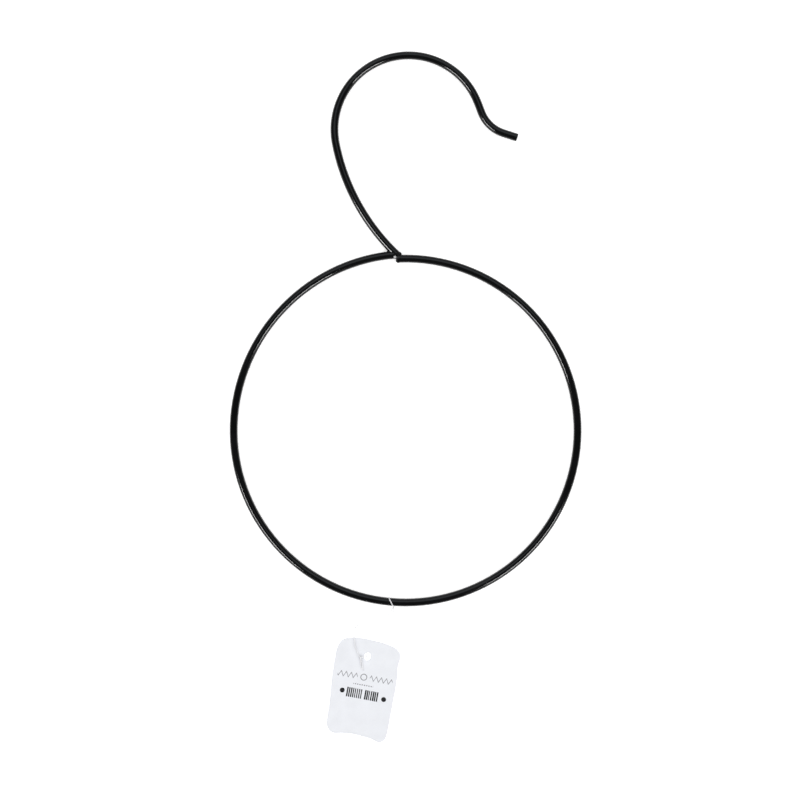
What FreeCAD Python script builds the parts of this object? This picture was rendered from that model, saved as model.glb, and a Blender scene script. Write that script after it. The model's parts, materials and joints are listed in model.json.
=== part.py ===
import FreeCAD, Part
import math
import os

import Sketcher

# Wire ring hanger with a paper swing tag, lying flat on a surface.
# +Z is up, +Y points from the ring towards the hook, +X is to the right.
# The origin is on the surface, at the middle of the wire frame's outline.
# The ring is level: it is held off the surface by the loop of string under it
# and by the hook, which is bent slightly down out of the ring's plane.

Vector = FreeCAD.Vector
Constraint = Sketcher.Constraint
DOC = FreeCAD.newDocument("ring_hanger")

# ---------------------------------------------------------------- dimensions

DIMENSIONS = [
    # wire frame (mm and degrees)
    ("wire_diameter", 4.5),         # with its coat
    ("ring_radius", 97.8),          # to the wire's centre line
    ("seam_right", 92.9),           # where the ring's wire starts, from +X
    ("slack_start", 170.0),         # from here the wire is bent less
    ("slack_radius", 101.4),
    ("slack_turn", 53.1),
    ("end_radius", 96.9),           # and its last stretch more
    ("end_turn", 22.5),
    # hook, measured from the ring's centre
    ("root_x", 4.7),                # distance left of the centre
    ("root_y", 99.8),
    ("shank_radius", 119.0),
    ("bend_radius", 42.2),
    ("bend_x", 1.7),
    ("bend_y", 171.3),
    ("neck_length", 5.9),
    ("neck_angle", 69.0),           # below the horizontal
    ("curl_radius", 19.7),
    ("tip_length", 8.5),
    ("tip_angle", 18.0),            # below the horizontal
    ("tip_rounding", 0.4),
    # weld
    ("bead_half_length", 2.5),
    ("bead_half_width", 1.5),
    ("bead_half_height", 2.3),
    ("bead_x", 5.3),                # distance left of the centre
    ("bead_y", 100.1),
    ("toe_radius", 1.15),           # the small bead left of the shank
    ("toe_x", 10.3),                # distance left of the centre
    ("toe_y", 101.8),
    # string
    ("string_diameter", 0.6),
    ("wrap_gap", 0.1),
    ("wrap_angle", 94.84),          # where the string is, clockwise from +X
    ("wrap_skew", 32.0),            # the loop crosses the wire at a slant
    ("wrap_half_width", 3.1),
    ("knot_radius", 0.8),
    # card
    ("card_width", 36.0),
    ("card_length", 55.0),
    ("card_thickness", 0.4),
    ("card_corner", 5.0),
    ("hole_width", 3.6),
    ("hole_length", 4.7),
    ("hole_inset", 9.0),            # hole's centre to the card's top edge
    ("hole_x", 21.7),               # distance left of the origin
    ("hole_y", 186.5),              # distance below the origin
    ("card_turn", 10.5),            # clockwise, seen from above
    ("card_tilt", 1.1),             # the back strand lifts the card's top edge
]

SHEET = DOC.addObject("Spreadsheet::Sheet", "dims")
for row, (alias, value) in enumerate(DIMENSIONS, start=1):
    SHEET.set(f"A{row}", alias)
    SHEET.set(f"B{row}", str(value))
    SHEET.setAlias(f"B{row}", alias)
DOC.recompute()


def dim(alias):
    return float(SHEET.get(alias))


# Formulas used by more than one feature.
WIRE_RADIUS = "dims.wire_diameter / 2"
RING_LIFT = "(dims.string_diameter + dims.wrap_gap)"
AXIS_HEIGHT = f"({WIRE_RADIUS} + {RING_LIFT})"
CENTRE_OFFSET = "((dims.bend_y + dims.bend_radius - dims.ring_radius) / 2)"
HOOK_DROP = f"asin({RING_LIFT} / (dims.bend_y + dims.bend_radius - dims.root_y))"


# ------------------------------------------------------------------- helpers

def origin_plane(body, role):
    return [f for f in body.Origin.OriginFeatures if f.Role == role][0]


def new_sketch(body, name, role="XY_Plane"):
    sketch = body.newObject("Sketcher::SketchObject", name)
    sketch.AttachmentSupport = [(origin_plane(body, role), "")]
    sketch.MapMode = "FlatFace"
    return sketch


def polar(radius, angle):
    return (radius * math.cos(math.radians(angle)), radius * math.sin(math.radians(angle)))


def arc(centre, radius, start, end):
    circle = Part.Circle(Vector(*centre, 0), Vector(0, 0, 1), radius)
    return Part.ArcOfCircle(circle, math.radians(start), math.radians(end))


def line(start, end):
    return Part.LineSegment(Vector(*start, 0), Vector(*end, 0))


def constrain(sketch, kind, *where, value=None, formula=None):
    """Adds one constraint, bound to the sheet when it has a formula."""
    if value is None:
        return sketch.addConstraint(Constraint(kind, *where))
    index = sketch.addConstraint(Constraint(kind, *where, value))
    if formula:
        sketch.setExpression(f"Constraints[{index}]", formula)
    return index


def sweep_circle(body, path, diameter_formula, at_end=False):
    """Sweeps a round section along the whole path sketch of a body."""
    section = body.newObject("Sketcher::SketchObject", path.Name + "_section")
    section.AttachmentSupport = [(path, "Edge1")]
    section.MapMode = "NormalToEdge"
    section.MapPathParameter = 1.0 if at_end else 0.0
    section.addGeometry(Part.Circle(Vector(0, 0, 0), Vector(0, 0, 1), 1.0))
    constrain(section, "Coincident", 0, 3, -1, 1)
    constrain(section, "Diameter", 0, value=2.0, formula=diameter_formula)
    DOC.recompute()
    pipe = body.newObject("PartDesign::AdditivePipe", path.Name + "_pipe")
    pipe.Profile = section
    pipe.Spine = path
    DOC.recompute()
    return pipe


def racetrack(sketch, end_radius, half_straight, radius_formula, straight_formula):
    """A closed outline with round ends and two sides along the sketch's X axis."""
    sketch.addGeometry(line((-half_straight, end_radius), (half_straight, end_radius)))
    sketch.addGeometry(arc((half_straight, 0), end_radius, -90, 90))
    sketch.addGeometry(line((half_straight, -end_radius), (-half_straight, -end_radius)))
    sketch.addGeometry(arc((-half_straight, 0), end_radius, 90, 270))
    constrain(sketch, "Tangent", 0, 2, 1, 2)
    constrain(sketch, "Tangent", 1, 1, 2, 1)
    constrain(sketch, "Tangent", 2, 2, 3, 2)
    constrain(sketch, "Tangent", 3, 1, 0, 1)
    constrain(sketch, "PointOnObject", 1, 3, -1)
    constrain(sketch, "Horizontal", 0)
    constrain(sketch, "Symmetric", 1, 3, 3, 3, -1, 1)
    constrain(sketch, "Radius", 1, value=end_radius, formula=radius_formula)
    constrain(sketch, "DistanceX", -1, 1, 1, 3, value=half_straight, formula=straight_formula)


def cut(label, base, *tools):
    """A sub-part: the base with every tool taken away from it."""
    for number, tool in enumerate(tools, start=1):
        step = DOC.addObject("Part::Cut", f"{label}_cut{number}")
        step.Base = base
        step.Tool = tool
        base = step
    base.Label = label
    return base


# ---------------------------------------------------------------- wire frame

def build_ring_tube():
    """The ring's wire from seam to seam: a circle whose end is less even."""
    radius, slack, end = dim("ring_radius"), dim("slack_radius"), dim("end_radius")
    start, seam = dim("slack_start"), dim("seam_right")
    slack_stop = start - dim("slack_turn")
    slack_centre = polar(radius - slack, start)
    step = polar(slack - end, slack_stop)
    end_centre = (slack_centre[0] + step[0], slack_centre[1] + step[1])
    body = DOC.addObject("PartDesign::Body", "ring_tube")
    path = new_sketch(body, "ring_path")
    path.addGeometry(arc(end_centre, end, slack_stop - dim("end_turn"), slack_stop))
    path.addGeometry(arc(slack_centre, slack, slack_stop, start))
    path.addGeometry(arc((0, 0), radius, start, seam + 360))
    path.addGeometry(line((0, 0), polar(radius, start)), True)
    path.addGeometry(line((0, 0), polar(radius, seam)), True)
    constrain(path, "Coincident", 2, 3, -1, 1)
    constrain(path, "Tangent", 0, 2, 1, 1)
    constrain(path, "Tangent", 1, 2, 2, 1)
    for number, alias in enumerate(["end_radius", "slack_radius", "ring_radius"]):
        constrain(path, "Radius", number, value=dim(alias), formula=f"dims.{alias}")
    for number, alias in enumerate(["end_turn", "slack_turn"]):
        constrain(path, "Angle", number, value=math.radians(dim(alias)),
                  formula=f"dims.{alias} * 1deg")
    for spoke, end_point, alias in [(3, 1, "slack_start"), (4, 2, "seam_right")]:
        constrain(path, "Coincident", spoke, 1, -1, 1)
        constrain(path, "Coincident", spoke, 2, 2, end_point)
        constrain(path, "Angle", -1, 1, spoke, 1, value=math.radians(dim(alias)),
                  formula=f"dims.{alias} * 1deg")
    sweep_circle(body, path, "dims.wire_diameter")
    body.setExpression("Placement", f"placement(vector(0; -{CENTRE_OFFSET}; {AXIS_HEIGHT});"
                                    " rotationz(0))")
    return body, path


def build_hook_tube():
    """The hook's wire: shank, main bend, neck, curl back and straight tip."""
    body = DOC.addObject("PartDesign::Body", "hook_tube")
    path = new_sketch(body, "hook_path")
    bend = (dim("bend_x"), dim("bend_y"))
    bend_radius, shank_radius = dim("bend_radius"), dim("shank_radius")
    curl_radius = dim("curl_radius")
    shank_end, shank_start = 191.25, 226.6
    neck, tip = math.radians(dim("neck_angle")), math.radians(dim("tip_angle"))
    reach = shank_radius - bend_radius
    shank = (bend[0] - reach * math.cos(math.radians(shank_end)),
             bend[1] - reach * math.sin(math.radians(shank_end)))
    neck_top = (bend[0] + bend_radius * math.sin(neck), bend[1] + bend_radius * math.cos(neck))
    neck_foot = (neck_top[0] + dim("neck_length") * math.cos(neck),
                 neck_top[1] - dim("neck_length") * math.sin(neck))
    curl = (neck_foot[0] + curl_radius * math.sin(neck),
            neck_foot[1] + curl_radius * math.cos(neck))
    curl_end = (curl[0] - curl_radius * math.sin(tip), curl[1] - curl_radius * math.cos(tip))
    tip_end = (curl_end[0] + dim("tip_length") * math.cos(tip),
               curl_end[1] - dim("tip_length") * math.sin(tip))
    path.addGeometry(arc(shank, shank_radius, shank_end, shank_start))
    path.addGeometry(arc(bend, bend_radius, 90 - dim("neck_angle"), shank_end))
    path.addGeometry(line(neck_top, neck_foot))
    path.addGeometry(arc(curl, curl_radius, 270 - dim("neck_angle"), 270 - dim("tip_angle")))
    path.addGeometry(line(curl_end, tip_end))
    constrain(path, "Tangent", 0, 1, 1, 2)
    constrain(path, "Tangent", 1, 1, 2, 1)
    constrain(path, "Tangent", 2, 2, 3, 1)
    constrain(path, "Tangent", 3, 2, 4, 1)
    constrain(path, "Radius", 0, value=shank_radius, formula="dims.shank_radius")
    constrain(path, "Radius", 1, value=bend_radius, formula="dims.bend_radius")
    constrain(path, "Radius", 3, value=curl_radius, formula="dims.curl_radius")
    constrain(path, "DistanceX", -1, 1, 1, 3, value=bend[0], formula="dims.bend_x")
    constrain(path, "DistanceY", -1, 1, 1, 3, value=bend[1], formula="dims.bend_y")
    constrain(path, "DistanceX", 0, 2, -1, 1, value=dim("root_x"), formula="dims.root_x")
    constrain(path, "DistanceY", -1, 1, 0, 2, value=dim("root_y"), formula="dims.root_y")
    constrain(path, "Distance", 2, value=dim("neck_length"), formula="dims.neck_length")
    constrain(path, "Angle", -1, 1, 2, 1, value=-neck, formula="-dims.neck_angle * 1deg")
    constrain(path, "Distance", 4, value=dim("tip_length"), formula="dims.tip_length")
    constrain(path, "Angle", -1, 1, 4, 1, value=-tip, formula="-dims.tip_angle * 1deg")
    pipe = sweep_circle(body, path, "dims.wire_diameter", at_end=True)
    edges = enumerate(pipe.Shape.Edges, start=1)
    tip_edge = max((edge.CenterOfMass.x, number) for number, edge in edges)[1]
    tip = body.newObject("PartDesign::Fillet", "hook_tip")
    tip.Base = (pipe, [f"Edge{tip_edge}"])
    tip.setExpression("Radius", "dims.tip_rounding")
    # The hook's plane drops from the weld until its far end meets the surface.
    pivot = f"vector(0; dims.root_y - {CENTRE_OFFSET}; {AXIS_HEIGHT})"
    drop = f"rotationx(-{HOOK_DROP})"
    body.setExpression("Placement", f"placement({pivot} + {drop} * vector(0; -dims.root_y; 0);"
                                    f" {drop})")
    return body, path


def build_weld():
    """The weld: a bead over the ring's seam and a small one beside the shank."""
    bead = DOC.addObject("Part::Ellipsoid", "seam_bead")
    bead.setExpression("Radius1", "dims.bead_half_height")
    bead.setExpression("Radius2", "dims.bead_half_length")
    bead.setExpression("Radius3", "dims.bead_half_width")
    bead.setExpression("Placement", "placement(vector(-dims.bead_x; dims.bead_y"
                                    f" - {CENTRE_OFFSET}; {AXIS_HEIGHT}); rotationz(0))")
    toe = DOC.addObject("Part::Sphere", "toe_bead")
    toe.setExpression("Radius", "dims.toe_radius")
    toe.setExpression("Placement", "placement(vector(-dims.toe_x; dims.toe_y"
                                   f" - {CENTRE_OFFSET}; {AXIS_HEIGHT}); rotationz(0))")
    weld = DOC.addObject("Part::MultiFuse", "weld")
    weld.Shapes = [bead, toe]
    weld.Label = "weld_bead"
    return weld


# ---------------------------------------------------------------- swing tag

def build_card():
    """The card, drawn about its hole and lifted at its top edge."""
    body = DOC.addObject("PartDesign::Body", "card")
    outline = new_sketch(body, "card_outline")
    right, top = dim("card_width") / 2, dim("hole_inset")
    bottom = top - dim("card_length")
    corners = [(-right, bottom), (right, bottom), (right, top), (-right, top)]
    for number, corner in enumerate(corners):
        outline.addGeometry(line(corner, corners[(number + 1) % 4]))
    for number in range(4):
        constrain(outline, "Coincident", number, 2, (number + 1) % 4, 1)
    for kind, number in [("Horizontal", 0), ("Vertical", 1), ("Horizontal", 2), ("Vertical", 3)]:
        constrain(outline, kind, number)
    constrain(outline, "DistanceX", 0, 1, 0, 2, value=2 * right, formula="dims.card_width")
    constrain(outline, "DistanceY", 1, 1, 1, 2, value=top - bottom, formula="dims.card_length")
    constrain(outline, "DistanceX", -1, 1, 1, 2, value=right, formula="dims.card_width / 2")
    constrain(outline, "DistanceY", -1, 1, 1, 2, value=top, formula="dims.hole_inset")
    board = body.newObject("PartDesign::Pad", "card_board")
    board.Profile = outline
    board.setExpression("Length", "dims.card_thickness")
    DOC.recompute()
    upright = [f"Edge{number}" for number, edge in enumerate(board.Shape.Edges, start=1)
               if edge.BoundBox.XLength + edge.BoundBox.YLength < 1e-6]
    rounded = body.newObject("PartDesign::Fillet", "card_corners")
    rounded.Base = (board, upright)
    rounded.setExpression("Radius", "dims.card_corner")
    DOC.recompute()
    punch = new_sketch(body, "card_punch")
    punch.AttachmentOffset = FreeCAD.Placement(Vector(), FreeCAD.Rotation(90, 0, 0))
    racetrack(punch, dim("hole_width") / 2, (dim("hole_length") - dim("hole_width")) / 2,
              "dims.hole_width / 2", "(dims.hole_length - dims.hole_width) / 2")
    hole = body.newObject("PartDesign::Pocket", "card_hole")
    hole.Profile = punch
    hole.Type = "ThroughAll"
    hole.Reversed = True
    lift = "(dims.card_length - dims.hole_inset) * sin(dims.card_tilt * 1deg)"
    body.setExpression("Placement", f"placement(vector(-dims.hole_x; -dims.hole_y; {lift});"
                                    " rotationz(-dims.card_turn * 1deg)"
                                    " * rotationx(dims.card_tilt * 1deg))")
    body.Label = "tag_card"
    return body


# ------------------------------------------------------------------- string

# The knot's centre, above the card and left of its hole.
KNOT = Vector(-25.8, -187.0, 2.25)

# Each route runs from the wire to the knot, and its points are the corners
# that the arcs round off. The front strand goes over the card's top edge, and
# the back strand goes under it and comes up through the hole.
FRONT_ROUTE = [
    Vector(-7.5, -158.9, 3.1),
    Vector(-9.0, -162.9, 0.4),
    Vector(-14.2, -164.6, 0.3),
    Vector(-20.6, -165.2, 0.3),
    Vector(-26.2, -167.5, 0.35),
    Vector(-29.6, -171.4, 1.1),
    Vector(-29.4, -175.8, 2.5),
    Vector(-28.8, -179.7, 2.6),
    Vector(-27.9, -183.5, 2.35),
    KNOT,
]
BACK_ROUTE = [
    Vector(-6.7, -158.6, 1.2),
    Vector(-6.8, -162.7, 0.3),
    Vector(-9.4, -167.7, 0.3),
    Vector(-14.6, -170.6, 0.3),
    Vector(-19.0, -174.6, 0.3),
    Vector(-21.1, -179.5, 0.3),
    Vector(-21.9, -183.1, 0.3),
    Vector(-22.1, -186.4, 0.3),
    Vector(-22.1, -186.4, 2.25),
    KNOT,
]
TAIL_ROUTE = [
    KNOT,
    Vector(-25.1, -190.3, 1.85),
    Vector(-24.3, -194.3, 1.65),
]


def rounded_path(name, points):
    """Straight runs joined by tangent arcs, each as large as its runs allow."""
    edges = []
    radii = []
    start = points[0]
    for before, corner, after in zip(points, points[1:], points[2:]):
        inward = (corner - before).normalize()
        outward = (after - corner).normalize()
        half_turn = inward.getAngle(outward) / 2
        trim = 0.45 * min((corner - before).Length, (after - corner).Length)
        radius = trim / math.tan(half_turn)
        arc_start = corner - inward * trim
        arc_end = corner + outward * trim
        to_centre = (outward - inward).normalize()
        middle = corner + to_centre * (radius / math.cos(half_turn) - radius)
        edges.append(Part.LineSegment(start, arc_start).toShape())
        edges.append(Part.Arc(arc_start, middle, arc_end).toShape())
        start = arc_end
        radii.append(round(radius, 1))
    edges.append(Part.LineSegment(start, points[-1]).toShape())
    print(name, "arc radii in mm:", radii)
    return Part.Wire(edges)


def string_tube(name, points):
    """The plain round tube of one stretch of string."""
    path = rounded_path(name, points)
    radius = dim("string_diameter") / 2
    heading = points[1] - points[0]
    section = Part.Wire(Part.makeCircle(radius, points[0], heading))
    tube = path.makePipeShell([section], True, False)
    expected = math.pi * radius ** 2 * path.Length
    print(name, "length", round(path.Length, 2), "mm, volume ratio",
          round(tube.Volume / expected, 4))
    return tube


def feature(label, shape):
    part = DOC.addObject("Part::Feature", label)
    part.Shape = shape
    part.Label = label
    return part


def build_hitch():
    """The turn of string round the wire: a flat-sided loop set at a slant."""
    body = DOC.addObject("PartDesign::Body", "hitch")
    path = new_sketch(body, "hitch_path", "XZ_Plane")
    half_height = dim("wire_diameter") / 2 + dim("wrap_gap") + dim("string_diameter") / 2
    height = "(dims.wire_diameter / 2 + dims.wrap_gap + dims.string_diameter / 2)"
    racetrack(path, half_height, dim("wrap_half_width") - half_height,
              height, f"dims.wrap_half_width - {height}")
    sweep_circle(body, path, "dims.string_diameter")
    around = "dims.wrap_angle * 1deg"
    place = (f"vector(dims.ring_radius * cos({around});"
             f" -dims.ring_radius * sin({around}) - {CENTRE_OFFSET}; {AXIS_HEIGHT})")
    body.setExpression("Placement", f"placement({place};"
                                    f" rotationz(dims.wrap_skew * 1deg - {around}))")
    body.Label = "string_hitch"
    return body


def build_knot():
    """The knot and its short tail, which lies on the card."""
    ball = Part.makeSphere(dim("knot_radius"), KNOT)
    return feature("string_knot", ball.fuse(string_tube("string_tail", TAIL_ROUTE)))


def build_strand(name, points):
    """A strand, which ends on the surface of the knot."""
    ball = Part.makeSphere(dim("knot_radius"), KNOT)
    return feature(name, string_tube(name, points).cut(ball))


# ----------------------------------------------------------------- assembly

ring_tube, ring_path = build_ring_tube()
hook_tube, hook_path = build_hook_tube()
weld_bead = build_weld()
SUBPARTS = [
    cut("ring_wire", ring_tube, weld_bead),
    cut("hook_wire", hook_tube, weld_bead, ring_tube),
    weld_bead,
    build_hitch(),
    build_strand("string_front", FRONT_ROUTE),
    build_strand("string_back", BACK_ROUTE),
    build_knot(),
    build_card(),
]
DOC.recompute()

for path in (ring_path, hook_path):
    print(path.Name, "length", round(sum(edge.Length for edge in path.Shape.Edges), 1), "mm")

for item in DOC.Objects:
    if "Invalid" in item.State or "Error" in item.State:
        raise RuntimeError(f"{item.Name} failed: {item.State}")

os.makedirs("parts", exist_ok=True)
for part in SUBPARTS:
    if part.Shape.isNull() or not part.Shape.isValid():
        raise RuntimeError(f"{part.Label} has no valid shape")
    print(part.Label, len(part.Shape.Solids), "solid, volume", round(part.Shape.Volume, 2))
    part.Shape.exportStep(f"parts/{part.Label}.step")
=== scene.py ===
import json
import math

import bmesh
import bpy
from mathutils import Matrix, Vector, noise


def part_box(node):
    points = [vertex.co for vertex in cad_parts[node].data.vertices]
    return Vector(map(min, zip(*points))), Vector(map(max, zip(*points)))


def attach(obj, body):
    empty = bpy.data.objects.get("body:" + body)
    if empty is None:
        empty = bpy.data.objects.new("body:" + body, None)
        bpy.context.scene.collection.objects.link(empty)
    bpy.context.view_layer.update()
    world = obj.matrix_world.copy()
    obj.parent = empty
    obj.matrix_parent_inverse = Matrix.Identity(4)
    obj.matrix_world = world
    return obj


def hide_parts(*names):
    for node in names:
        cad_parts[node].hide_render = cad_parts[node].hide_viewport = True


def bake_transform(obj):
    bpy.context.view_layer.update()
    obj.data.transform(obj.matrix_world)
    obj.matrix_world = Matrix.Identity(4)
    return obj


# Black wire ring hanger with a card swing tag, lying flat and seen from above.
# Everything is in metres, in the CAD part's frame: +Z up, +Y towards the hook.

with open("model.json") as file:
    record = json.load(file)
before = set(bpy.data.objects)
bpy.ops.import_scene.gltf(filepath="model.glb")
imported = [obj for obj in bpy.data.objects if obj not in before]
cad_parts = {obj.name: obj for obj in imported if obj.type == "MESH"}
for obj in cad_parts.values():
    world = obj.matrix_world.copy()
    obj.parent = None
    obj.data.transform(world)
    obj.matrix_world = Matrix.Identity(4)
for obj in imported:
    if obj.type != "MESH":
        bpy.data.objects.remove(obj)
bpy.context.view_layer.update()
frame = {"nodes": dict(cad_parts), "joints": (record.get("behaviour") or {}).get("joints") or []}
joints = {joint["name"]: joint for joint in frame["joints"]}
scene = bpy.context.scene
scene.view_settings.view_transform = "Standard"

MM = 0.001
UP = Vector((0, 0, 1))


# ------------------------------------------------------------------- camera

VIEW_CENTRE = Vector((-3.19, -40.49, 0)) * MM
VIEW_SPAN = 455 * MM              # what the picture shows at the wire's height
WIRE_HEIGHT = joints["string_swing"]["pos_m"][2]
LENS, SENSOR = 85.0, 36.0


def make_camera():
    data = bpy.data.cameras.new("camera")
    data.lens, data.sensor_width = LENS, SENSOR
    data.clip_start, data.clip_end = 0.05, 50
    camera = bpy.data.objects.new("camera", data)
    camera.location = VIEW_CENTRE + UP * (VIEW_SPAN * LENS / SENSOR + WIRE_HEIGHT)
    scene.collection.objects.link(camera)
    scene.camera = camera


# ---------------------------------------------------------- meshes from lines

def add_object(name, mesh, material, body=None):
    """A smooth-shaded piece that rides on a body, or on none if it is to be blended."""
    for face in mesh.polygons:
        face.use_smooth = True
    mesh.materials.append(material)
    piece = bpy.data.objects.new(name, mesh)
    scene.collection.objects.link(piece)
    if body:
        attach(piece, body)
    return piece


def spline_points(route):
    """Points along the NURBS spline that a route's points control, in metres."""
    curve = bpy.data.curves.new("route", "CURVE")
    curve.dimensions = "3D"
    spline = curve.splines.new("NURBS")
    spline.points.add(len(route) - 1)
    for point, place in zip(spline.points, route):
        point.co = (*(Vector(place) * MM), 1)
    spline.order_u = 3
    spline.use_endpoint_u = True
    spline.resolution_u = 24
    holder = bpy.data.objects.new("route", curve)
    mesh = bpy.data.meshes.new_from_object(holder)
    points = [vertex.co.copy() for vertex in mesh.vertices]
    bpy.data.objects.remove(holder)
    bpy.data.curves.remove(curve)
    bpy.data.meshes.remove(mesh)
    return points


def evenly(points, step):
    """The same line with its points a step apart."""
    lengths = [0.0]
    for a, b in zip(points, points[1:]):
        lengths.append(lengths[-1] + (b - a).length)
    count = max(2, round(lengths[-1] / step))
    spaced, index = [], 0
    for number in range(count + 1):
        target = lengths[-1] * number / count
        while index < len(points) - 2 and lengths[index + 1] < target:
            index += 1
        run = max(lengths[index + 1] - lengths[index], 1e-12)
        spaced.append(points[index].lerp(points[index + 1], (target - lengths[index]) / run))
    return spaced


def travelling_frames(points, closed=False):
    """A (tangent, side, other side) at every point, with no needless twist."""
    count = len(points)
    tangents = []
    for index in range(count):
        before = points[index - 1] if index or closed else points[0]
        after = points[(index + 1) % count] if closed or index < count - 1 else points[-1]
        tangents.append((after - before).normalized())
    side = tangents[0].orthogonal().normalized()
    sides = [side]
    for a, b in zip(tangents, tangents[1:]):
        side = a.rotation_difference(b) @ side
        sides.append((side - b * side.dot(b)).normalized())
    if closed:
        last = tangents[-1].rotation_difference(tangents[0]) @ sides[-1]
        slip = math.atan2(last.cross(sides[0]).dot(tangents[0]), last.dot(sides[0]))
        sides = [Matrix.Rotation(slip * i / count, 3, tangents[i]) @ s for i, s in enumerate(sides)]
    return [(t, s, t.cross(s)) for t, s in zip(tangents, sides)]


TUBE_SIDES = 10


def add_tube(form, points, radius, closed=False):
    """Adds a round tube along a line to a bmesh."""
    count = len(points)
    around_uv = form.loops.layers.uv.verify()
    rings = []
    for (_, side, other), centre in zip(travelling_frames(points, closed), points):
        ring = []
        for corner in range(TUBE_SIDES):
            angle = 2 * math.pi * corner / TUBE_SIDES
            outward = side * math.cos(angle) + other * math.sin(angle)
            ring.append(form.verts.new(centre + outward * radius))
        rings.append(ring)
    step = (points[1] - points[0]).length / MM
    for index in range(count if closed else count - 1):
        here, there = rings[index], rings[(index + 1) % count]
        for corner in range(TUBE_SIDES):
            after = (corner + 1) % TUBE_SIDES
            face = form.faces.new((here[corner], here[after], there[after], there[corner]))
            places = [(index, corner), (index, corner + 1), (index + 1, corner + 1), (index + 1, corner)]
            for loop, (along, around) in zip(face.loops, places):
                loop[around_uv].uv = (along * step, around / TUBE_SIDES)
    if not closed:
        form.faces.new(list(reversed(rings[0])))
        form.faces.new(rings[-1])


def ply_lines(points, plies, reach, pitch, closed=False, phase=0.0):
    """The centre lines of the plies that are twisted round a line."""
    lines = [[] for _ in range(plies)]
    travelled = 0.0
    if closed:
        loop = sum((points[i] - points[i - 1]).length for i in range(len(points)))
        pitch = loop / max(1, round(loop / pitch))
    for index, (_, side, other) in enumerate(travelling_frames(points, closed)):
        if index:
            travelled += (points[index] - points[index - 1]).length
        for ply in range(plies):
            angle = 2 * math.pi * (travelled / pitch + ply / plies) + phase
            lines[ply].append(points[index] + (side * math.cos(angle) + other * math.sin(angle)) * reach)
    return lines


# ------------------------------------------------------------------- string

STRING_WIDTH = 0.6                # two plies of half that, twisted together
PLY_RADIUS = 0.155
PLY_REACH = 0.145                 # from the string's centre line to a ply's
TWIST_PITCH = 2.7
STEP = 0.12

KNOT = (-25.8, -187.0, 2.25)
FRONT_ROUTE = [
    (-7.0, -158.1, 3.1),
    (-7.9, -159.8, 2.1),
    (-9.0, -162.7, 0.4),
    (-14.2, -164.6, 0.3),
    (-20.6, -165.2, 0.3),
    (-26.2, -167.5, 0.35),
    (-29.6, -171.4, 1.1),
    (-29.4, -175.8, 2.5),
    (-28.8, -179.7, 2.6),
    (-27.9, -183.5, 2.35),
    KNOT,
]
BACK_ROUTE = [
    (-7.0, -157.8, 1.6),
    (-6.7, -159.8, 0.6),
    (-6.8, -162.7, 0.3),
    (-9.4, -167.7, 0.3),
    (-14.6, -170.6, 0.3),
    (-19.0, -174.6, 0.3),
    (-21.1, -179.5, 0.3),
    (-21.9, -183.1, 0.3),
    (-22.1, -186.4, 0.3),
    (-22.1, -186.4, 2.25),
    KNOT,
]
TAIL_ROUTES = [
    [KNOT, (-25.0, -189.3, 1.95), (-24.6, -191.6, 1.7), (-24.1, -194.2, 1.6)],
    [KNOT, (-25.7, -189.6, 1.95), (-25.4, -191.8, 1.7), (-24.75, -193.9, 1.6)],
]


def string_mesh(name, lines):
    form = bmesh.new()
    for points, closed in lines:
        add_tube(form, points, PLY_RADIUS * MM, closed=closed)
    bmesh.ops.recalc_face_normals(form, faces=form.faces[:])
    mesh = bpy.data.meshes.new(name)
    form.to_mesh(mesh)
    form.free()
    return mesh


def make_strand(name, route, material):
    line = evenly(spline_points(route), STEP * MM)
    plies = ply_lines(line, 2, PLY_REACH * MM, TWIST_PITCH * MM)
    mesh = string_mesh(name, [(ply, False) for ply in plies])
    piece = add_object(name, mesh, material)
    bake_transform(piece)
    return piece, line


def line_length(points):
    return sum((b - a).length for a, b in zip(points, points[1:]))


WRAP_ANGLE = 94.84                # where the string goes round the ring, clockwise from +X
HITCH_TURN = 32.0 - WRAP_ANGLE    # the loop's direction across the wire, in degrees too
HITCH_HALF_WIDTH = 3.1
HITCH_PHASE = 0.6
HITCH_ARC_STEP = 10               # degrees between the points of the loop's round sides


def make_hitch(material):
    """The turn of string round the wire, along the same flat-sided loop as in CAD."""
    centre = Vector(joints["string_swing"]["pos_m"])
    low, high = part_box("string_hitch")
    half_height = (high.z - low.z) / 2 - STRING_WIDTH / 2 * MM
    across = Matrix.Rotation(math.radians(HITCH_TURN), 3, "Z") @ Vector((1, 0, 0))
    flat = HITCH_HALF_WIDTH * MM - half_height
    corners = []
    for side, start in ((1, 90), (-1, -90)):
        for number in range(180 // HITCH_ARC_STEP + 1):
            angle = math.radians(start - HITCH_ARC_STEP * number)
            reach = side * flat + half_height * math.cos(angle)
            corners.append(centre + across * reach + UP * (half_height * math.sin(angle)))
    line = evenly(corners + corners[:1], STEP * MM)[:-1]
    plies = ply_lines(line, 2, PLY_REACH * MM, TWIST_PITCH * MM, closed=True, phase=HITCH_PHASE)
    mesh = string_mesh("hitch", [(ply, True) for ply in plies])
    piece = add_object("hitch", mesh, material, "hitch")
    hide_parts("string_hitch")
    return piece


KNOT_TURNS = 2.5
KNOT_REACH = 0.42                 # from the knot's axis to the middle of its turns
KNOT_RISE = 0.42                  # from one turn to the next
KNOT_POINTS = 120
KNOT_PITCH = 2.0                  # the knot's string is twisted tighter


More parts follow.
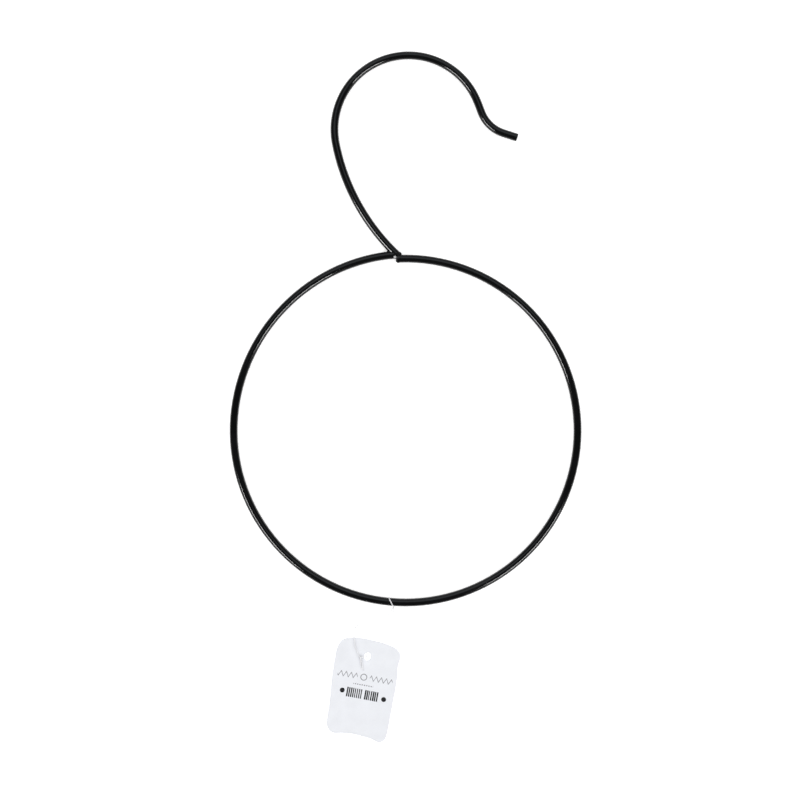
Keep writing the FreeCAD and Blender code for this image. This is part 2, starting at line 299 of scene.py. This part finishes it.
def make_knot(material):
    """Turns of string pulled tight round the strands, and its two cut tails."""
    axis = (Vector(TAIL_ROUTES[0][1]) - Vector(KNOT)).normalized()
    side = axis.orthogonal().normalized()
    other = axis.cross(side)
    length = KNOT_TURNS * KNOT_RISE
    turns = []
    for number in range(KNOT_POINTS + 1):
        share = number / KNOT_POINTS
        angle = 2 * math.pi * KNOT_TURNS * share
        reach = KNOT_REACH * (0.75 + 0.25 * math.sin(math.pi * share))
        place = Vector(KNOT) + axis * (length * (share - 0.5))
        place += (side * math.cos(angle) + other * math.sin(angle)) * reach
        turns.append(place * MM)
    plies = ply_lines(evenly(turns, STEP * MM), 2, PLY_REACH * MM, KNOT_PITCH * MM)
    lines = [(ply, False) for ply in plies]
    for route in TAIL_ROUTES:
        line = evenly(spline_points(route), STEP * MM)
        lines += [(ply, False) for ply in ply_lines(line, 2, PLY_REACH * MM, TWIST_PITCH * MM)]
    piece = add_object("knot", string_mesh("knot", lines), material, "string")
    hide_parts("string_knot")
    return piece


def make_string(material):
    hitch = make_hitch(material)
    knot = make_knot(material)
    for name, route, cad_node in [("front_strand", FRONT_ROUTE, "string_front"),
                                  ("back_strand", BACK_ROUTE, "string_back")]:
        piece, line = make_strand(name, route, material)
        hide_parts(cad_node)


# ---------------------------------------------------------------- materials

def new_material(name, colour, roughness):
    material = bpy.data.materials.new(name)
    material.use_nodes = True
    shader = material.node_tree.nodes["Principled BSDF"]
    shader.inputs["Base Color"].default_value = (*colour, 1)
    shader.inputs["Roughness"].default_value = roughness
    return material, material.node_tree, shader


def node(tree, kind, inputs=(), **settings):
    """A node with its settings and inputs. An input is a value or another socket."""
    made = tree.nodes.new(kind)
    for key, value in settings.items():
        setattr(made, key, value)
    for key, value in dict(inputs).items():
        if isinstance(value, bpy.types.NodeSocket):
            tree.links.new(value, made.inputs[key])
        else:
            made.inputs[key].default_value = value
    return made


def maths(tree, operation, *values):
    return node(tree, "ShaderNodeMath", enumerate(values), operation=operation).outputs[0]


def millimetres(tree):
    """The place on the piece, in millimetres."""
    place = node(tree, "ShaderNodeTexCoord").outputs["Object"]
    scaled = node(tree, "ShaderNodeVectorMath", {0: place, "Scale": 1000.0}, operation="SCALE")
    return scaled.outputs["Vector"]


def noise_at(tree, place, scale, detail=3.0):
    inputs = {"Vector": place, "Scale": scale, "Detail": detail}
    return node(tree, "ShaderNodeTexNoise", inputs).outputs["Fac"]


def ramp(tree, factor, low, high):
    """Spreads a noise factor, which is mostly from 0.3 to 0.7, over low to high."""
    return node(tree, "ShaderNodeMapRange",
                {"Value": factor, "From Min": 0.3, "From Max": 0.7,
                 "To Min": low, "To Max": high}).outputs["Result"]


def mix(tree, factor, first, second):
    made = node(tree, "ShaderNodeMix", data_type="RGBA")
    for index, value in ((0, factor), (6, first), (7, second)):
        if isinstance(value, bpy.types.NodeSocket):
            tree.links.new(value, made.inputs[index])
        else:
            made.inputs[index].default_value = value
    return made.outputs[2]


COAT_DARK = (0.0024, 0.0025, 0.0028, 1)
COAT_LIGHT = (0.0040, 0.0042, 0.0047, 1)
DUST = (0.10, 0.10, 0.11, 1)
# The pale colour at the seam is a chip in the coat and also a painted glint.
PALE_CHIP_AND_GLINT = (0.66, 0.66, 0.67, 1)
CHIP_AND_GLINT_RADIUS = 0.75
COAT_ROUGHNESS = (0.09, 0.13)


def coat_material(name, chip_and_glint_place=None):
    """Black powder coat: a fine orange peel, cloudy gloss, a little dust, and if asked a pale spot at
    the seam that is a chip in the coat and a painted glint.
    """
    material, tree, shader = new_material(name, COAT_DARK[:3], sum(COAT_ROUGHNESS) / 2)
    place = millimetres(tree)
    cloud = noise_at(tree, place, 0.09)
    grain = noise_at(tree, place, 2.6, 4.0)
    colour = mix(tree, ramp(tree, cloud, 0.0, 1.0), COAT_DARK, COAT_LIGHT)
    cells = node(tree, "ShaderNodeTexVoronoi", {"Vector": place, "Scale": 0.8})
    tiny = maths(tree, "LESS_THAN", cells.outputs["Distance"], 0.055)
    chosen = maths(tree, "GREATER_THAN", noise_at(tree, place, 0.22), 0.6)
    specks = maths(tree, "MULTIPLY", tiny, chosen)
    colour = mix(tree, specks, colour, DUST)
    rough = maths(tree, "ADD", ramp(tree, cloud, *COAT_ROUGHNESS), ramp(tree, grain, -0.02, 0.02))
    # A pale spot at the seam: partly a chip in the coat, partly a painted glint.
    if chip_and_glint_place is not None:
        away = node(tree, "ShaderNodeVectorMath", {0: place, 1: Vector(chip_and_glint_place)},
                    operation="DISTANCE").outputs["Value"]
        ragged = maths(tree, "ADD", away, ramp(tree, grain, -0.2, 0.2))
        chip_and_glint = maths(tree, "LESS_THAN", ragged, CHIP_AND_GLINT_RADIUS)
        colour = mix(tree, chip_and_glint, colour, PALE_CHIP_AND_GLINT)
    tree.links.new(colour, shader.inputs["Base Color"])
    tree.links.new(rough, shader.inputs["Roughness"])
    bump = node(tree, "ShaderNodeBump", {"Height": grain, "Strength": 0.3, "Distance": 0.02 * MM})
    tree.links.new(bump.outputs["Normal"], shader.inputs["Normal"])
    shader.inputs["Specular IOR Level"].default_value = 0.3
    return material


def string_material():
    """White cotton: fibres that run along each ply, with soft uneven shade."""
    material, tree, shader = new_material("white_cotton", (0.86, 0.86, 0.87), 0.95)
    along = node(tree, "ShaderNodeUVMap").outputs["UV"]
    stretched = node(tree, "ShaderNodeMapping", {"Vector": along, "Scale": (1.6, 14.0, 1.0),
                                                 "Rotation": (0, 0, 0.5)}).outputs["Vector"]
    fibres = noise_at(tree, stretched, 1.0, 3.0)
    colour = mix(tree, ramp(tree, fibres, 0.0, 1.0), (0.78, 0.78, 0.80, 1), (0.93, 0.93, 0.94, 1))
    tree.links.new(colour, shader.inputs["Base Color"])
    bump = node(tree, "ShaderNodeBump", {"Height": fibres, "Strength": 0.8, "Distance": 0.05 * MM})
    tree.links.new(bump.outputs["Normal"], shader.inputs["Normal"])
    shader.inputs["Specular IOR Level"].default_value = 0.2
    return material


CARD_WHITE = (0.772, 0.786, 0.822, 1)
GREY_INK = (0.22, 0.22, 0.23, 1)
BLACK_INK = (0.008, 0.008, 0.009, 1)


def between(tree, value, low, high):
    """1 where the value is from low to high."""
    middle, half = (low + high) / 2, (high - low) / 2
    apart = maths(tree, "ABSOLUTE", maths(tree, "SUBTRACT", value, middle))
    return maths(tree, "LESS_THAN", apart, half)


def disc(tree, across, along, centre, radius, hole=0.0):
    """1 on a disc, or on a ring when there is a hole's radius."""
    dx = maths(tree, "SUBTRACT", across, centre[0])
    dy = maths(tree, "SUBTRACT", along, centre[1])
    away = maths(tree, "SQRT", maths(tree, "ADD", maths(tree, "MULTIPLY", dx, dx),
                                     maths(tree, "MULTIPLY", dy, dy)))
    return between(tree, away, hole or -radius, radius)


def zigzag(tree, across, along, level, reach, pitch, thickness):
    """1 on a zigzag line round a level."""
    wave = maths(tree, "PINGPONG", across, pitch / 2)
    height = maths(tree, "MULTIPLY", wave, 2 * reach / (pitch / 2))
    line = maths(tree, "ADD", height, level - reach)
    apart = maths(tree, "ABSOLUTE", maths(tree, "SUBTRACT", along, line))
    return maths(tree, "LESS_THAN", apart, thickness / 2)


# The print, in millimetres from the hole's middle: x to the right, y up. A run goes from
# left to right and a row from bottom to top.
ZIGZAG_LEVEL, ZIGZAG_REACH, ZIGZAG_PITCH, ZIGZAG_THICKNESS = -12.0, 1.45, 2.9, 0.78
ZIGZAG_RUNS = ((-15.0, -3.4), (3.6, 16.7))
RING_PLACE, RING_OUTER, RING_INNER = (0.1, ZIGZAG_LEVEL - 0.1), 1.95, 1.5
DOT_PITCH, DOT_HALF_WIDTH = 1.3, 0.36
DOT_ROW, DOT_RUN = (-16.9, -16.3), (-5.2, 6.3)
BAR_PITCH, BAR_SHARE, BAR_SPREAD = 1.15, 0.48, 0.30
BAR_ROW, BAR_RUNS = (-24.6, -19.1), ((-8.2, 0.6), (1.8, 10.2))
SPOT_RADIUS, SPOT_PLACES = 1.4, ((-10.65, -21.5), (13.5, -22.5))


def zigzag_marks(tree, across, along):
    left, right = (between(tree, across, *run) for run in ZIGZAG_RUNS)
    band = zigzag(tree, across, along, ZIGZAG_LEVEL, ZIGZAG_REACH, ZIGZAG_PITCH, ZIGZAG_THICKNESS)
    return maths(tree, "MULTIPLY", band, maths(tree, "ADD", left, right))


def dot_marks(tree, across, along):
    dots = between(tree, maths(tree, "PINGPONG", across, DOT_PITCH / 2), 0.0, DOT_HALF_WIDTH)
    dots = maths(tree, "MULTIPLY", dots, between(tree, along, *DOT_ROW))
    return maths(tree, "MULTIPLY", dots, between(tree, across, *DOT_RUN))


def bar_marks(tree, across, along):
    """Bars of uneven width, from BAR_SHARE of the pitch to BAR_SPREAD more."""
    place = maths(tree, "DIVIDE", across, BAR_PITCH)
    cell = maths(tree, "FLOOR", place)
    chance = node(tree, "ShaderNodeTexWhiteNoise", {"W": cell}, noise_dimensions="1D").outputs["Value"]
    width = maths(tree, "ADD", maths(tree, "MULTIPLY", chance, BAR_SPREAD), BAR_SHARE)
    bars = maths(tree, "LESS_THAN", maths(tree, "FRACT", place), width)
    left, right = (between(tree, across, *run) for run in BAR_RUNS)
    bars = maths(tree, "MULTIPLY", bars, maths(tree, "ADD", left, right))
    return maths(tree, "MULTIPLY", bars, between(tree, along, *BAR_ROW))


def print_marks(tree, across, along):
    """The grey and the black part of a plain pattern with no lettering."""
    ring = disc(tree, across, along, RING_PLACE, RING_OUTER, RING_INNER)
    grey = maths(tree, "MAXIMUM", zigzag_marks(tree, across, along), ring)
    grey = maths(tree, "MAXIMUM", grey, dot_marks(tree, across, along))
    black = bar_marks(tree, across, along)
    for place in SPOT_PLACES:
        black = maths(tree, "MAXIMUM", black, disc(tree, across, along, place, SPOT_RADIUS))
    return grey, black


def card_material():
    """Matte white card with faint fibres, and a printed pattern on its face."""
    material, tree, shader = new_material("printed_card", CARD_WHITE[:3], 0.8)
    place = millimetres(tree)
    fibres = noise_at(tree, place, 3.5, 4.0)
    cloud = noise_at(tree, place, 0.15, 2.0)
    shade = maths(tree, "ADD", ramp(tree, fibres, -0.02, 0.02), ramp(tree, cloud, -0.02, 0.02))
    tint = node(tree, "ShaderNodeHueSaturation",
                {"Color": CARD_WHITE, "Value": maths(tree, "ADD", shade, 1.0)}).outputs["Color"]
    flat = node(tree, "ShaderNodeUVMap").outputs["UV"]
    axes = node(tree, "ShaderNodeSeparateXYZ", {"Vector": flat})
    grey, black = print_marks(tree, axes.outputs["X"], axes.outputs["Y"])
    colour = mix(tree, maths(tree, "MULTIPLY", grey, ramp(tree, fibres, 0.9, 1.0)), tint, GREY_INK)
    colour = mix(tree, maths(tree, "MULTIPLY", black, ramp(tree, fibres, 0.98, 1.0)), colour, BLACK_INK)
    tree.links.new(colour, shader.inputs["Base Color"])
    bump = node(tree, "ShaderNodeBump", {"Height": fibres, "Strength": 0.25, "Distance": 0.02 * MM})
    tree.links.new(bump.outputs["Normal"], shader.inputs["Normal"])
    shader.inputs["Specular IOR Level"].default_value = 0.1
    return material


# --------------------------------------------------------------------- card

# The cut card's outline round its hole, in millimetres: x to the right, y up.
CARD_OUTLINE = [
    (-17.9, 1.5), (-15.7, 6.9), (-10.5, 9.0), (-4.0, 9.7), (2.0, 9.5), (8.5, 9.0),
    (14.2, 7.8), (17.7, 5.4), (18.5, 2.2), (18.1, -2.6), (18.9, -10.0), (19.0, -20.0),
    (19.0, -32.0), (19.0, -39.5), (18.5, -44.0), (15.6, -46.9), (10.5, -46.0), (4.0, -45.4),
    (-1.8, -45.2), (-6.8, -45.8), (-11.8, -46.4), (-15.3, -43.5), (-16.2, -38.5),
    (-16.4, -32.0), (-16.8, -25.0), (-17.6, -17.0), (-18.0, -7.0),
]
CARD_THICKNESS = 0.4
CARD_TURN = -10.5
HOLE_WIDTH, HOLE_HEIGHT = 3.6, 4.7
CURL = 0.0032                     # lift in mm for each mm squared from the card's middle line
CORNER_LIFT = 1.3                 # of the lower right corner
DIP = 0.25                        # beside the hole, on the left
OUTLINE_POINTS = 420
CORNER_STEPS = 16                 # points of the fine outline for each corner
FACE_STEPS = 34                   # from the hole to the rim
STEP_CROWDING = 1.25              # more than 1 makes the steps shorter near the hole
CARD_EDGE = [(-0.12, 1.0), (-0.03, 0.72), (0.0, 0.0), (-0.03, -0.72), (-0.12, -1.0)]  # inset, level
PRINTED_LEVEL = 0.9               # only what is above this level has the print
UNPRINTED = 60.0                  # a y where the print has nothing


def card_height(x, y):
    """How far the curled card's underside is above the flat CAD card's."""
    corner = max(0.0, (x - 4) / 15) ** 2 * max(0.0, (-y - 28) / 18) ** 2
    dip = math.exp(-((x + 11) / 6) ** 2 - ((y - 2) / 7) ** 2)
    return CURL * x * x + CORNER_LIFT * corner - DIP * dip


def smooth_outline(corners, count):
    """Evenly spaced points of the closed curve through the corners."""
    fine = []
    total = len(corners)
    for index in range(total):
        a, b, c, d = (Vector((*corners[(index + shift) % total], 0)) for shift in (-1, 0, 1, 2))
        for number in range(CORNER_STEPS):
            t = number / CORNER_STEPS
            fine.append(0.5 * (2 * b + (c - a) * t + (2 * a - 5 * b + 4 * c - d) * t ** 2
                               + (3 * b - a - 3 * c + d) * t ** 3))
    closed = fine + fine[:1]
    return evenly(closed, line_length(closed) / count)[:-1]


def make_card(material):
    """The card as rings of faces from its hole out to its rounded rim and back under."""
    hole = Vector(joints["tag_turn"]["pos_m"])
    normal = -Vector(joints["tag_turn"]["axis"])
    turn = Matrix.Rotation(math.radians(CARD_TURN), 3, "Z")
    right = turn @ Vector((1, 0, 0))
    right = (right - normal * right.dot(normal)).normalized()
    upward = normal.cross(right)
    outline = smooth_outline(CARD_OUTLINE, OUTLINE_POINTS)
    rim = []
    for point in outline:
        angle = math.atan2(point.y, point.x)
        rim.append(Vector((HOLE_WIDTH / 2 * math.cos(angle), HOLE_HEIGHT / 2 * math.sin(angle), 0)))
    half = CARD_THICKNESS / 2
    shares = [(number / FACE_STEPS) ** STEP_CROWDING for number in range(1, FACE_STEPS)]
    sections = [(share, 0.0, 1.0) for share in shares]
    sections += [(1.0, inset, level) for inset, level in CARD_EDGE]
    sections += [(share, 0.0, -1.0) for share in reversed(shares)]
    sections += [(0.0, -inset, level) for inset, level in reversed(CARD_EDGE)]
    form = bmesh.new()
    flat_uv = form.loops.layers.uv.verify()
    rings = []
    for share, inset, level in sections:
        ring = []
        for outer, inner in zip(outline, rim):
            flat = inner.lerp(outer, share)
            flat += flat.normalized() * inset
            raised = card_height(flat.x, flat.y) + level * half
            place = hole + (right * flat.x + upward * flat.y + normal * raised) * MM
            print_y = flat.y if level > PRINTED_LEVEL else UNPRINTED
            ring.append((form.verts.new(place), (flat.x, print_y)))
        rings.append(ring)
    for index, ring in enumerate(rings):
        following = rings[(index + 1) % len(rings)]
        for corner in range(len(ring)):
            after = (corner + 1) % len(ring)
            quad = [ring[corner], following[corner], following[after], ring[after]]
            face = form.faces.new([vertex for vertex, _ in quad])
            for loop, (_, uv) in zip(face.loops, quad):
                loop[flat_uv].uv = uv
    bmesh.ops.recalc_face_normals(form, faces=form.faces[:])
    mesh = bpy.data.meshes.new("swing_tag")
    form.to_mesh(mesh)
    form.free()
    piece = add_object("swing_tag", mesh, material, "tag")
    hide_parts("tag_card")


# --------------------------------------------------------------------- weld

WELD_CENTRE = Vector((-5.8, 41.6, 3.0)) * MM
WELD_REACH = 8.0                  # how far along the wires the weld's piece goes
WELD_END = 7.4                    # the piece's ends are drawn back to here, inside the wires
WELD_VOXEL = 0.13
WELD_SMOOTHING = 24
WELD_RISE = 0.05                  # the middle stands this much proud of the wires
WELD_DROP = 0.35                  # and the surface drops by this much away from it
DROP_START, DROP_LENGTH = 3.4, 3.0
END_START, END_DROP = 6.6, 0.7    # from here on it drops again, by this much a millimetre
RIPPLE_HEIGHT, RIPPLE_SCALE = 0.07, 1.3
CHIP_AND_GLINT_PLACE = (-6.1, 40.5, 5.0)    # the pale spot at the seam: a chip in the coat and a painted glint
LUMPS = [((-5.3, 42.0, 3.4), 1.75), ((-4.5, 40.8, 3.3), 1.7), ((-3.4, 42.5, 3.2), 1.2),
         ((-4.1, 38.8, 3.2), 1.5), ((-10.1, 43.9, 3.1), 1.0)]


def clipped_wire(form, node_name, centre):
    """Adds the stretch of a CAD wire near the weld to a bmesh, closed at its cuts."""
    wire = bmesh.new()
    wire.from_mesh(frame["nodes"][node_name].data)
    reach = WELD_REACH * MM
    for direction in (Vector((1, 0, 0)), Vector((-1, 0, 0)), Vector((0, 1, 0)), Vector((0, -1, 0))):
        geometry = wire.verts[:] + wire.edges[:] + wire.faces[:]
        bmesh.ops.bisect_plane(wire, geom=geometry, plane_co=centre + direction * reach,
                               plane_no=direction, clear_outer=True)
    bmesh.ops.remove_doubles(wire, verts=wire.verts[:], dist=1e-6)
    bmesh.ops.holes_fill(wire, edges=[edge for edge in wire.edges if edge.is_boundary], sides=0)
    stretch = bpy.data.meshes.new("stretch")
    wire.to_mesh(stretch)
    wire.free()
    form.from_mesh(stretch)
    bpy.data.meshes.remove(stretch)


def make_weld(material):
    """A lumpy weld that runs smoothly into the wires it joins."""
    form = bmesh.new()
    for node_name in ("ring_wire", "hook_wire"):
        clipped_wire(form, node_name, WELD_CENTRE)
    for place, radius in LUMPS:
        bmesh.ops.create_icosphere(form, subdivisions=3, radius=radius * MM,
                                   matrix=Matrix.Translation(Vector(place) * MM))
    rough = bpy.data.meshes.new("weld_rough")
    form.to_mesh(rough)
    form.free()
    holder = bpy.data.objects.new("weld_rough", rough)
    scene.collection.objects.link(holder)
    remesh = holder.modifiers.new("voxels", "REMESH")
    remesh.mode, remesh.voxel_size = "VOXEL", WELD_VOXEL * MM
    smooth = holder.modifiers.new("smooth", "SMOOTH")
    smooth.factor, smooth.iterations = 0.5, WELD_SMOOTHING
    evaluated = holder.evaluated_get(bpy.context.evaluated_depsgraph_get())
    mesh = bpy.data.meshes.new_from_object(evaluated)
    bpy.data.objects.remove(holder)
    bpy.data.meshes.remove(rough)
    mesh.name = "weld"
    normals = [vertex.normal.copy() for vertex in mesh.vertices]
    for vertex, normal in zip(mesh.vertices, normals):
        away = (vertex.co - WELD_CENTRE).length / MM
        share = min(1.0, max(0.0, (away - DROP_START) / DROP_LENGTH))
        fade = share * share * (3 - 2 * share)
        ripple = noise.noise(vertex.co / MM * RIPPLE_SCALE) * RIPPLE_HEIGHT * (1 - fade)
        stub = END_DROP * min(1.0, max(0.0, away - END_START))
        vertex.co += normal * (WELD_RISE - WELD_DROP * fade + ripple - stub) * MM
        away = (vertex.co - WELD_CENTRE).length
        if away > WELD_END * MM:
            vertex.co = WELD_CENTRE.lerp(vertex.co, WELD_END * MM / away)
    piece = add_object("weld", mesh, material, "hanger")
    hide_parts("weld_bead")


# ----------------------------------------------------------- floor and light

FLOOR_WIDTH = 8.0
FLOOR_GLOW = 0.45
WORLD_GLOW = 0.06


def make_floor():
    """A pale table that glows a little, so that it stays white beside the wire."""
    material, tree, shader = new_material("floor", (0.93, 0.93, 0.93), 0.9)
    shader.inputs["Specular IOR Level"].default_value = 0.1
    shader.inputs["Emission Color"].default_value = (1, 1, 1, 1)
    shader.inputs["Emission Strength"].default_value = FLOOR_GLOW
    bpy.ops.mesh.primitive_plane_add(size=FLOOR_WIDTH)
    floor = bpy.context.object
    floor.name = "floor"
    floor.data.materials.append(material)


def make_light(name, azimuth, elevation, distance, size, radiance, gloss, tint=(1, 1, 1)):
    """A light box that faces the object, azimuth counted from +X.

    It makes either highlights (gloss) or even light with no highlight."""
    data = bpy.data.lights.new(name, "AREA")
    data.shape = "RECTANGLE"
    data.size, data.size_y = size
    data.energy = radiance * math.pi * size[0] * size[1]
    data.color = tint
    light = bpy.data.objects.new(name, data)
    a, e = math.radians(azimuth), math.radians(elevation)
    outward = Vector((math.cos(a) * math.cos(e), math.sin(a) * math.cos(e), math.sin(e)))
    light.location = VIEW_CENTRE + outward * distance
    light.rotation_mode = "QUATERNION"
    light.rotation_quaternion = outward.to_track_quat("Z", "Y")
    light.visible_glossy = gloss
    light.visible_diffuse = not gloss
    scene.collection.objects.link(light)


def make_lights():
    world = bpy.data.worlds.new("studio")
    world.use_nodes = True
    background = world.node_tree.nodes["Background"]
    background.inputs["Color"].default_value = (1.0, 1.0, 1.0, 1)
    background.inputs["Strength"].default_value = WORLD_GLOW
    scene.world = world
    make_light("fill", 90, 90, 3.0, (10.0, 10.0), 1.35, False)
    make_light("top", 90, 52, 4.0, (4.4, 4.4), 1.0, True, (0.88, 0.94, 1.0))
    for name, azimuth in (("lower_left", -144), ("lower_right", -46)):
        make_light(name, azimuth, 35, 3.0, (1.5, 0.4), 48, True)


# ----------------------------------------------------------------- the scene

make_camera()
make_string(string_material())
make_card(card_material())
make_weld(coat_material("black_coat_weld", CHIP_AND_GLINT_PLACE))
coat = coat_material("black_coat")
for wire in ("ring_wire", "hook_wire"):
    frame["nodes"][wire].data.materials.clear()
    frame["nodes"][wire].data.materials.append(coat)
make_floor()
make_lights()
